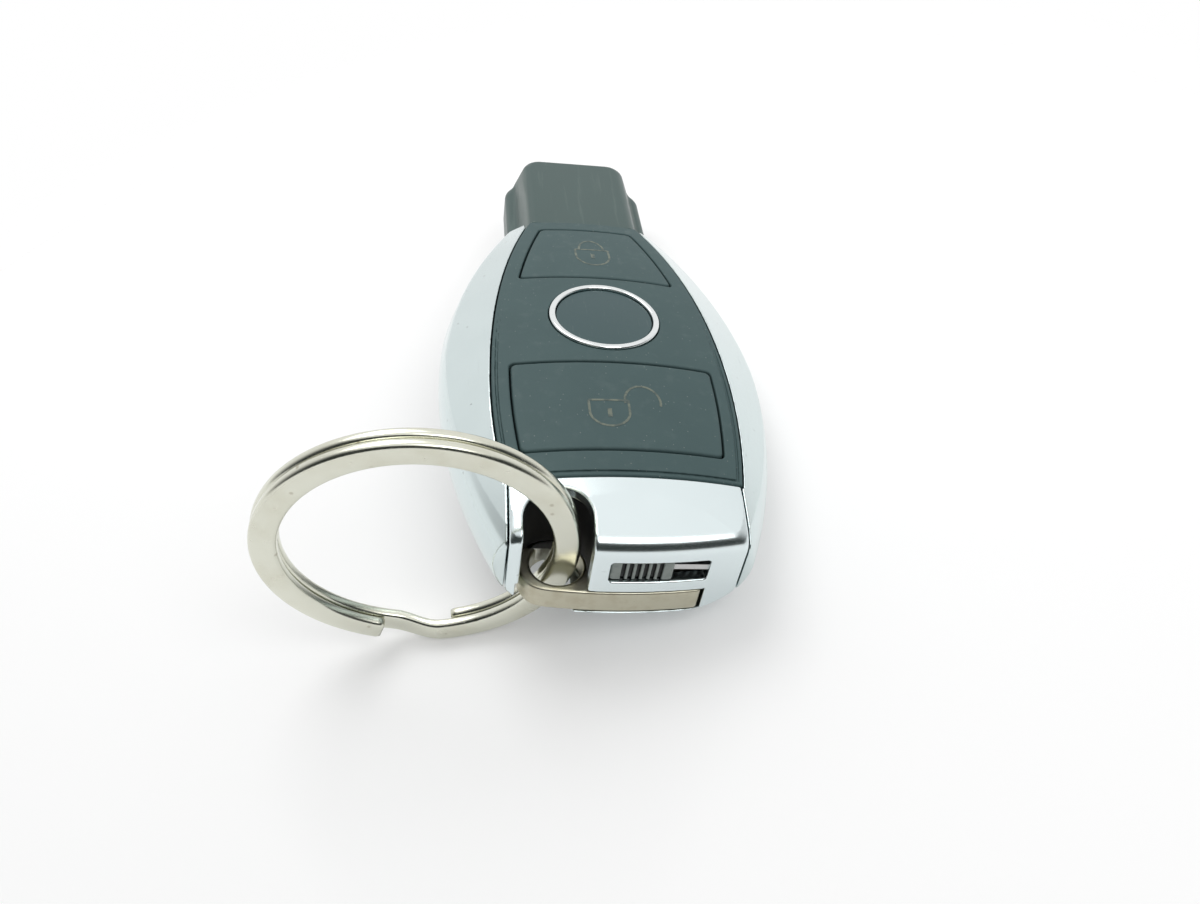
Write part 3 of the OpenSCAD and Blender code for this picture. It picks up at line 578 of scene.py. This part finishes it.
# Lock and unlock buttons: crowned caps that sit flush in the panel and press on the rubber mat.
# They are moulded in the panel's plastic, with a flange below that keeps each one in its opening.
button_gap = 0.22
button_edge_r = 0.3
button_flange_w = 0.8
button_flange_t = 1
button_t = panel_wall + button_flange_t
button_deep = 5.5


def push_button(span):
    """The field of the button whose opening has this span."""
    def button(x, y, z):
        top = crown(x, y, z)
        cap = round_max(within(-button_t, 0, top), button_plan(x, y, span, -button_gap), button_edge_r)
        lip = np.maximum(within(-button_t, -panel_wall - fit, top),
                         button_plan(x, y, span, button_flange_w))
        return np.minimum(cap, lip)
    return button


for node, span in (("lock_button", lock_y), ("unlock_button", unlock_y)):
    low, high = box_mm(node)
    cap = skin(node + "_cap", push_button(span), (low.x, low.y, high.z - button_deep), high, step=0.2)
    dress(cap, slate, node, "slate_plastic", node)


# Button signs: a shut and an open padlock, pad-printed in a pale grey that has worn to a dull yellow.
# Each is a few thin lines of ink on the crown of its button.
ink_t = 0.03
ink_top = 0.8


def crown_z(x, y):
    """Height of the crown above a point of the plan."""
    along = np.sqrt(crown_cross_r ** 2 - x ** 2) + crown_side_r - crown_cross_r
    return np.sqrt(along ** 2 - y ** 2) - crown_side_r + body_h


def arc(cx, cy, rx, ry, start, end, count=20):
    """Points along part of an ellipse, with angles in degrees."""
    turn = np.radians(np.linspace(start, end, count))
    return np.stack([cx + rx * np.cos(turn), cy + ry * np.sin(turn)], 1)


def ink_lines(name, paths):
    """Printed lines along paths of the plan, each with its width, laid on the crown."""
    points = []
    faces = []
    for path, width in paths:
        ahead_of = np.gradient(path, axis=0)
        ahead_of /= np.linalg.norm(ahead_of, axis=1)[:, None]
        across = np.stack([-ahead_of[:, 1], ahead_of[:, 0]], 1) * width / 2
        base = len(points)
        for spot, way in zip(path, across):
            for side, lift in ((-1, -ink_t), (-ink_top, ink_t), (ink_top, ink_t), (1, -ink_t)):
                x, y = spot + side * way
                points.append((x, y, crown_z(x, y) + lift))
        for i in range(len(path) - 1):
            for k in range(4):
                a = base + 4 * i + k
                b = base + 4 * i + (k + 1) % 4
                faces.append((a, a + 4, b + 4, b))
        last = base + 4 * (len(path) - 1)
        faces.append((base, base + 1, base + 2, base + 3))
        faces.append((last + 3, last + 2, last + 1, last))
    return new_piece(name, points, faces)


worn_ink, paint = new_finish("worn_ink")
wear = paint.noise(0.0007, 4).fade(0.4, 0.62)
paint.cover({"Base Color": paint.mix(wear, (0.150, 0.172, 0.138, 1), (0.082, 0.108, 0.098, 1)),
             "Roughness": 0.45 + 0.15 * wear,
             "Specular IOR Level": 0.3})
line_w = 0.36
keyhole_w = 0.6
keyhole_up = 0.5
keyhole_down = 0.9
case_half = 2.4
case_top = 1.9
for node, span, sign_x, sign_y, case_drop, bow_x, bow_half, bow_rise, bow_turn in (
        ("lock_button", lock_y, 0.1, -1.2, 2.9, 0, 1.8, 3, (0, 180)),
        ("unlock_button", unlock_y, -1.2, -1.5, 2.3, 4.2, 2.2, 2.6, (190, -15))):
    middle = sum(span) / 2 + sign_y
    lid_left = (sign_x - case_half, middle + case_top)
    lid_right = (sign_x + case_half, middle + case_top)
    bowl = arc(sign_x, middle, case_half, case_drop, 0, -180, 28)
    bowl = np.concatenate([[lid_right], bowl, [lid_left]])
    lid = np.linspace(lid_left, lid_right, 12)
    keyhole = np.array([(sign_x, middle + keyhole_up), (sign_x, middle - keyhole_down)])
    bow = arc(sign_x + bow_x, middle + case_top, bow_half, bow_rise, *bow_turn)
    lines = [(bowl, line_w), (lid, line_w), (keyhole, keyhole_w), (bow, line_w)]
    sign = ink_lines(node + "_sign", lines)
    dress(sign, worn_ink, node, "slate_plastic")


# Badge: a plain bright ring round a bare, slightly domed disc, pressed into the panel's recess.
# The ring is polished plated plastic, and the disc is a glossy dark moulding.
badge_ring_w = 0.85
badge_proud = 0.3
rim_edge_r = 0.28
disc_sunk = 0.1
disc_edge_r = 0.1
badge_low = (-badge_r, badge_y - badge_r, 13.5)
badge_high = (badge_r, badge_y + badge_r, 16)


def badge_ring(x, y, z):
    top = crown(x, y, z)
    reach = np.hypot(x, y - badge_y)
    band = within(badge_r - badge_ring_w, badge_r, reach)
    return round_max(within(-badge_depth, badge_proud, top), band, rim_edge_r)


def badge_disc(x, y, z):
    top = crown(x, y, z)
    reach = np.hypot(x, y - badge_y)
    edge = reach - badge_r + badge_ring_w + fit
    return round_max(within(-badge_depth, -disc_sunk, top), edge, disc_edge_r)


rim_piece = skin("badge_rim", badge_ring, badge_low, badge_high, step=0.12)
disc_piece = skin("badge_face", badge_disc, badge_low, badge_high, step=0.16)
bright_plating, paint = new_finish("bright_plating")
wear = paint.noise(0.0009, 4).fade(0.5, 0.8)
paint.cover({"Base Color": paint.mix(wear * 0.4, (0.82, 0.85, 0.85, 1), (0.58, 0.62, 0.61, 1)),
             "Metallic": 1,
             "Roughness": 0.09 + 0.12 * wear,
             "Normal": paint.bump(paint.noise(0.0002), 0.000001)})
gloss_disc, paint = new_finish("gloss_disc")
hair = paint.noise(0.0002, 4, (1, 16, 1)).fade(0.62, 0.75)
paint.cover({"Base Color": paint.mix(hair * 0.5, (0.046, 0.084, 0.088, 1), (0.09, 0.13, 0.13, 1)),
             "Roughness": 0.3 + 0.15 * hair,
             "Specular IOR Level": 0.3,
             "Normal": paint.bump(paint.noise(0.0015), 0.000004)})
dress(rim_piece, bright_plating, "casing", "bright_chrome", "badge_ring")
dress(disc_piece, gloss_disc, "casing", "badge_black", "badge_disc")


# Rear cover: the flat battery cover on the back, which swings on its nose end and clips at the tail.
# It is moulded in the same textured plastic as the panel, with softly rounded edges.
cover_low, cover_high = box_mm("rear_cover")
cover_t = 1.3
cover_edge_r = 0.3
hinge_y = cover_high.y - cover_t / 2
barrel_in = 1.5
barrel_edge_r = 0.2
clip_x = (1, 7)
clip_in = 0.25
clip_t = 1
clip_y = (cover_low.y + clip_in, cover_low.y + clip_in + clip_t)


def rear_cover(x, y, z):
    side = back_opening(x, y) + parting
    plate = np.maximum(side, within(cover_low.y, hinge_y, y))
    plate = round_max(plate, within(0, cover_t, z), cover_edge_r)
    barrel = np.hypot(y - hinge_y, z - cover_t / 2) - cover_t / 2
    barrel = round_max(barrel, side + barrel_in, barrel_edge_r)
    clip = np.maximum(within(*clip_x, x), within(*clip_y, y))
    clip = np.maximum(clip, within(cover_t / 2, cover_high.z, z))
    return np.minimum(np.minimum(plate, barrel), clip)


cover_piece = skin("rear_cover_shell", rear_cover, cover_low, cover_high, step=0.25)
dress(cover_piece, slate, "rear_cover", "slate_plastic", "rear_cover")


# Emergency key: the nickel-plated head that closes the tail, with the eye for the ring, and its blade.
# The head is a die casting worn warm and dull at its edges; the steel blade is pressed into it.
eye_x = -7.3
eye_y = -27.5
eye_r = 3.1
eye_outer_r = 4.6
eye_edge_r = 0.45
head_corner_r = 0.5
head_edge_r = 0.3


def key_head(x, y, z):
    hub = np.hypot(x - eye_x, y - eye_y) - eye_outer_r
    bar = np.maximum(within(eye_x, head_high.x, x), y - head_high.y)
    block = np.maximum(within(head_low.x, head_high.x, x), within(eye_y, head_high.y, y))
    plan = np.minimum(np.minimum(hub, bar), block)
    plan = round_max(plan, np.hypot(x, y + tail_l - tail_r) - tail_r, head_corner_r)
    head = round_max(plan, within(head_low.z, head_high.z, z), head_edge_r)
    return round_max(head, eye_r - np.hypot(x - eye_x, y - eye_y), eye_edge_r)


head_piece = skin("key_grip", key_head, head_low, head_high, step=0.16)
dull_nickel, paint = new_finish("dull_nickel")
tarnish = paint.noise(0.0012, 5).fade(0.4, 0.75)
brushed = paint.noise(0.00012, 3, (18, 18, 1))
tone = paint.mix(tarnish * 0.6, (0.55, 0.53, 0.42, 1), (0.45, 0.41, 0.30, 1))
paint.cover({"Base Color": paint.mix(brushed * 0.3, tone, (0.40, 0.37, 0.28, 1)),
             "Metallic": 1,
             "Roughness": 0.25 + 0.08 * tarnish + 0.08 * brushed,
             "Normal": paint.bump(brushed, 0.000003)})
blade_steel, paint = new_finish("blade_steel")
brushed = paint.noise(0.00015, 3, (1, 30, 1))
paint.cover({"Base Color": paint.mix(brushed, (0.52, 0.52, 0.51, 1), (0.66, 0.66, 0.65, 1)),
             "Metallic": 1,
             "Roughness": 0.24 + 0.16 * brushed,
             "Normal": paint.bump(brushed, 0.000003)})
dress(head_piece, dull_nickel, "emergency_key", "nickel", "key_head")
paint_nodes(blade_steel, "key_blade")


# Release slide: the ribbed grey thumb slide in the slot, which runs on a steel rail.
# It is moulded in acetal, with six grooves across its face for the nail.
slide_low, slide_high = box_mm("release_slide")
slide_gap = 0.12
slide_l = 7.06
slide_left = slot_left_x + slide_gap
slide_right = slide_left + slide_l
slide_front_y = slide_low.y
slide_corner_r = 0.4
slide_edge_r = 0.2
slide_plate_y = (slot_back_y, slide_high.y)
plate_edge_r = 0.15
slide_over = 0.9
slide_pad = 1
groove_count = 6
groove_half = 0.24
groove_depth = 0.45
groove_edge_r = 0.1
rail_low, rail_high = box_mm("slide_rail")
rail_gap = 0.25
tongue_half = 1.5
groove_shade_from = 0.08
groove_shade_full = 0.3


def release_slide(x, y, z):
    upright = within(slot_low_z + slide_gap, slot_high_z - slide_gap, z)
    face = round_max(within(slide_left, slide_right, x), upright, slide_corner_r)
    thumb = round_max(face, within(slide_front_y, slide_high.y, y), slide_edge_r)
    plate = np.maximum(within(slide_left - slide_over, slide_right + slide_over, x),
                       within(slot_low_z - slide_over, slot_high_z + slide_over, z))
    plate = round_max(plate, within(*slide_plate_y, y), plate_edge_r)
    mid_x = (slide_left + slide_right) / 2
    tongue = np.maximum(np.abs(x - mid_x) - tongue_half, within(slide_low.z, slot_low_z, z))
    tongue = np.maximum(tongue, within(*slide_plate_y, y))
    body = np.minimum(np.minimum(thumb, plate), tongue)
    pitch = (slide_right - slide_left - 2 * slide_pad) / groove_count
    place = (x - slide_left - slide_pad) / pitch
    off = np.abs(place - np.clip(np.floor(place), 0, groove_count - 1) - 0.5) * pitch
    groove = np.maximum(off - groove_half, y - slide_front_y - groove_depth)
    body = round_max(body, -groove, groove_edge_r)
    rail = np.maximum(within(rail_low.y, rail_high.y, y), within(rail_low.z, rail_high.z, z)) - rail_gap
    return np.maximum(body, -rail)


slide_piece = skin("thumb_slide", release_slide, slide_low, slide_high, step=0.1)
slide_grey, paint = new_finish("slide_grey")
grain = paint.noise(0.0002)
grime = paint.noise(0.0007, 4).fade(0.45, 0.7)
# Painted shade: the slide turns nearly black from just behind its front face inward, in the grooves and
# along its sides.
groove_shade = paint.along("Y").fade(slide_front_y + groove_shade_from, slide_front_y + groove_shade_full)
tone = paint.mix(grime * 0.5, (0.30, 0.335, 0.315, 1), (0.20, 0.23, 0.215, 1))
paint.cover({"Base Color": paint.mix(groove_shade, tone, (0.025, 0.028, 0.026, 1)),
             "Roughness": 0.42 + 0.15 * grain,
             "Specular IOR Level": 0.35,
             "Normal": paint.bump(grain, 0.000006)})
dress(slide_piece, slide_grey, "slide", "grey_plastic", "release_slide")
paint_nodes(blade_steel, "slide_rail")


# Release spring: the small compression spring that pushes the slide back to the left.
# It is coiled from spring-steel wire and sits in the carrier's pocket; the real one shortens as the slide
# moves, but this one keeps its length.
def swept_wire(name, points, sides):
    """A closed solid along a wire, from the corners of its sections in order."""
    faces = []
    for a in range(0, len(points) - sides, sides):
        for k in range(sides):
            b = (k + 1) % sides
            faces.append((a + k, a + b, a + b + sides, a + k + sides))
    faces.append(tuple(range(sides))[::-1])
    faces.append(tuple(range(len(points) - sides, len(points))))
    made = new_piece(name, points, faces)
    made.data.shade_smooth()
    return made


spring_low, spring_high = box_mm("release_spring")
spring_mid = (spring_low + spring_high) / 2
spring_l = spring_high.x - spring_low.x
spring_wire = 0.35
spring_turns = 6
turn_steps = 24
spring_sides = 10
coil_r = (spring_high.z - spring_low.z - spring_wire) / 2
advance = (spring_l - spring_wire) / (spring_turns * turn_steps)
points = []
for i in range(spring_turns * turn_steps + 1):
    turn = 2 * math.pi * i / turn_steps
    for around in np.linspace(0, 2 * math.pi, spring_sides, False):
        reach = coil_r + spring_wire / 2 * math.cos(around)
        points.append((spring_low.x + spring_wire / 2 * (1 - math.sin(around)) + advance * i,
                       spring_mid.y + reach * math.cos(turn), spring_mid.z + reach * math.sin(turn)))
spring_piece = swept_wire("slide_spring", points, spring_sides)
dress(spring_piece, blade_steel, "casing", "steel", "release_spring")
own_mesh(spring_piece)


# Key ring: a split ring of two turns of flat wire that hangs in the eye of the key's head.
# It is nickel-plated spring steel, rolled with rounded edges and cranked where one turn passes the other.
ring_r = 17.75
wire_w = 3
wire_t = 1.3
turn_gap = 0.1
wire_edge_r = 0.5
ring_lean = 5
ring_centre = Vector((-22.83, -27.92, 7))
free_front_deg = 255
cross_deg = (-80, -100)
free_back_deg = -435
wire_steps = 420
end_shrink = 0.88


def wire_section(count=5):
    """Corners of the flat wire, rounded, as pairs of across and along the ring's axis."""
    section = []
    for corner in range(4):
        cx = (wire_w / 2 - wire_edge_r) * (1 if corner in (0, 3) else -1)
        cz = (wire_t / 2 - wire_edge_r) * (1 if corner in (0, 1) else -1)
        for turn in np.radians(90 * corner + np.linspace(0, 90, count)):
            section.append((cx + wire_edge_r * math.cos(turn), cz + wire_edge_r * math.sin(turn)))
    return np.array(section)


section = wire_section()
around = np.linspace(free_front_deg, free_back_deg, wire_steps)
share = np.clip((around - cross_deg[0]) / (cross_deg[1] - cross_deg[0]), 0, 1)
offset = (wire_t + turn_gap) / 2 * (1 - 2 * share * share * (3 - 2 * share))
points = []
for i in range(wire_steps):
    turn = math.radians(around[i])
    size = end_shrink if i in (0, wire_steps - 1) else 1
    for across, along in section * size:
        reach = ring_r - wire_w / 2 + across
        points.append((reach * math.cos(turn), reach * math.sin(turn), offset[i] + along))
split_ring = swept_wire("split_ring", points, len(section))
split_ring.data.transform(Matrix.Translation(ring_centre / mm_per_m)
                          @ Matrix.Rotation(math.radians(90 + ring_lean), 4, "X"))
ring_nickel, paint = new_finish("ring_nickel")
tarnish = paint.noise(0.005, 3).fade(0.4, 0.75)
spots = paint.specks(0.0026).fade(0.12, 0.06)
scratches = paint.noise(0.0002, 4, (6, 1, 6)).fade(0.6, 0.75)
tone = paint.mix(tarnish, (0.72, 0.725, 0.63, 1), (0.66, 0.655, 0.55, 1))
paint.cover({"Base Color": paint.mix(spots * 0.5, tone, (0.40, 0.36, 0.27, 1)),
             "Metallic": 1,
             "Roughness": 0.2 + 0.07 * tarnish + 0.08 * scratches,
             "Normal": paint.bump(scratches + 0.3 * paint.noise(0.0005), 0.000003)})
dress(split_ring, ring_nickel, "ring", "nickel", "key_ring")


# Inside: the board with its switches, chip, coil and lamps, the rubber mat and the cell's contacts.
# They are standard parts soldered to the board, and show only when the fob is opened.
mask_green, paint = new_finish("solder_mask")
cloud = paint.noise(0.0015, 4)
paint.cover({"Base Color": paint.mix(cloud, (0.012, 0.10, 0.045, 1), (0.02, 0.15, 0.07, 1)),
             "Roughness": 0.28 + 0.12 * cloud})
mould_black, paint = new_finish("component_black")
grain = paint.noise(0.0001)
paint.cover({"Base Color": paint.mix(grain, (0.012, 0.012, 0.013, 1), (0.028, 0.028, 0.03, 1)),
             "Roughness": 0.4 + 0.2 * grain})
silicone, paint = new_finish("silicone_mat")
grain = paint.noise(0.0003)
paint.cover({"Base Color": paint.mix(grain, (0.05, 0.05, 0.055, 1), (0.08, 0.08, 0.085, 1)),
             "Roughness": 0.6 + 0.2 * grain})
winding, paint = new_finish("coil_winding")
strands = paint.noise(0.00018, 2, (30, 30, 1))
paint.cover({"Base Color": paint.mix(strands, (0.42, 0.16, 0.06, 1), (0.72, 0.36, 0.18, 1)),
             "Metallic": 0.9,
             "Roughness": 0.3 + 0.1 * strands,
             "Normal": paint.bump(strands, 0.00003)})
gilt, paint = new_finish("gilt_contact")
wear = paint.noise(0.0008, 4)
paint.cover({"Base Color": paint.mix(wear, (0.82, 0.60, 0.24, 1), (0.70, 0.52, 0.26, 1)),
             "Metallic": 1,
             "Roughness": 0.22 + 0.12 * wear})
lamp, paint = new_finish("lamp_clear")
cloud = paint.noise(0.001)
paint.cover({"Base Color": paint.mix(cloud, (0.45, 0.52, 0.66, 1), (0.52, 0.58, 0.70, 1)),
             "Roughness": 0.08 + 0.06 * cloud,
             "Transmission Weight": 0.6})
paint_nodes(mask_green, "circuit_board")
paint_nodes(mould_black, "lock_switch", "unlock_switch", "controller_chip", "infrared_receiver")
paint_nodes(silicone, "button_mat")
paint_nodes(winding, "power_coil")
paint_nodes(gilt, "plus_contact", "minus_contact")
paint_nodes(lamp, "infrared_emitter")
paint_nodes(blade_steel, "coin_cell", "crystal")


# Floor and light: the fob leans on its ring and one side, on a plain white sheet.
# Two broad soft lamps hang over it, and the room beyond is pale ahead and dim behind the camera.
floor_up = Vector((-0.266, -0.03, 0.9635)).normalized()
floor_r = 160
sheet_from = 0.6
sheet_gone = 0.98
sheet_glow = 0.2
round_sides = 96
lowest = min(floor_up.dot(v.co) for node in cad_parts.values() for v in node.data.vertices)
floor_turn = floor_up.to_track_quat("Z", "Y").to_matrix().to_4x4()
angles = np.linspace(0, 2 * math.pi, round_sides, False)
rim = [(floor_r * math.cos(a), floor_r * math.sin(a), 0) for a in angles]
floor = new_piece("floor", rim, [tuple(range(round_sides))])
floor.matrix_world = Matrix.Translation(floor_up * lowest) @ floor_turn
white_sheet, paint = new_finish("white_sheet")
spread = paint.node("ShaderNodeVectorMath", {"operation": "LENGTH"}, {0: paint.place()}, "Value") * mm_per_m
lit = paint.node("ShaderNodeBsdfDiffuse", (), {"Color": (0.95, 0.95, 0.95, 1)})
white = paint.node("ShaderNodeEmission", (), {"Color": (1, 1, 1, 1)})
sheet = paint.node("ShaderNodeMixShader", (), {0: sheet_glow, 1: lit, 2: white})
below = paint.node("ShaderNodeNewGeometry", output="Backfacing")
gone = paint.math("MAXIMUM", below, spread.fade(sheet_from * floor_r, sheet_gone * floor_r))
paint.cut_away(gone, sheet)
floor.data.materials.append(white_sheet)

wall_r = 500
wall_z = (-80, 620)
wall_fade_y = (-300, 380)
wall_fade_z = (400, 620)
posts = [(wall_r * math.cos(a), wall_r * math.sin(a), z) for a in angles for z in wall_z]
panes = [(k, k + 1, (k + 3) % len(posts), (k + 2) % len(posts)) for k in range(0, len(posts), 2)]
wall = new_piece("room_wall", posts, panes)
room_tone, paint = new_finish("room_tone")
tone = paint.mix(paint.along("Y").fade(*wall_fade_y), (0.03, 0.035, 0.033, 1), (0.96, 0.96, 0.96, 1))
glow = paint.node("ShaderNodeEmission", (), {"Color": tone})
seen = paint.node("ShaderNodeLightPath", output="Is Camera Ray")
paint.cut_away(paint.math("MAXIMUM", seen, paint.along("Z").fade(*wall_fade_z)), glow)
wall.data.materials.append(room_tone)

room = bpy.data.worlds.new("room")
room.use_nodes = True
room.node_tree.nodes.clear()
paint = Paint(room.node_tree)
ray = paint.node("ShaderNodeLightPath", output="Is Camera Ray")
for kind in ("Is Glossy Ray", "Is Transmission Ray"):
    ray = paint.math("MAXIMUM", ray, paint.node("ShaderNodeLightPath", output=kind))
tone = paint.mix(ray, (0.86, 0.86, 0.86, 1), (1, 1, 1, 1))
sky = paint.node("ShaderNodeBackground", (), {"Color": tone})
paint.node("ShaderNodeOutputWorld", (), {"Surface": sky})
bpy.context.scene.world = room


def soft_lamp(name, place, width, power):
    """A square soft lamp that faces the fob."""
    data = bpy.data.lights.new(name, "AREA")
    data.size = width
    data.energy = power
    made = bpy.data.objects.new(name, data)
    made.location = place
    made.rotation_mode = "QUATERNION"
    made.rotation_quaternion = (-Vector(place)).to_track_quat("-Z", "Y")
    bpy.context.scene.collection.objects.link(made)


soft_lamp("ahead_lamp", (-0.2, 0.2, 0.42), 0.3, 0.9)
soft_lamp("rear_lamp", (0.1, -0.25, 0.45), 0.25, 0.55)
bpy.context.scene.view_settings.view_transform = "Standard"
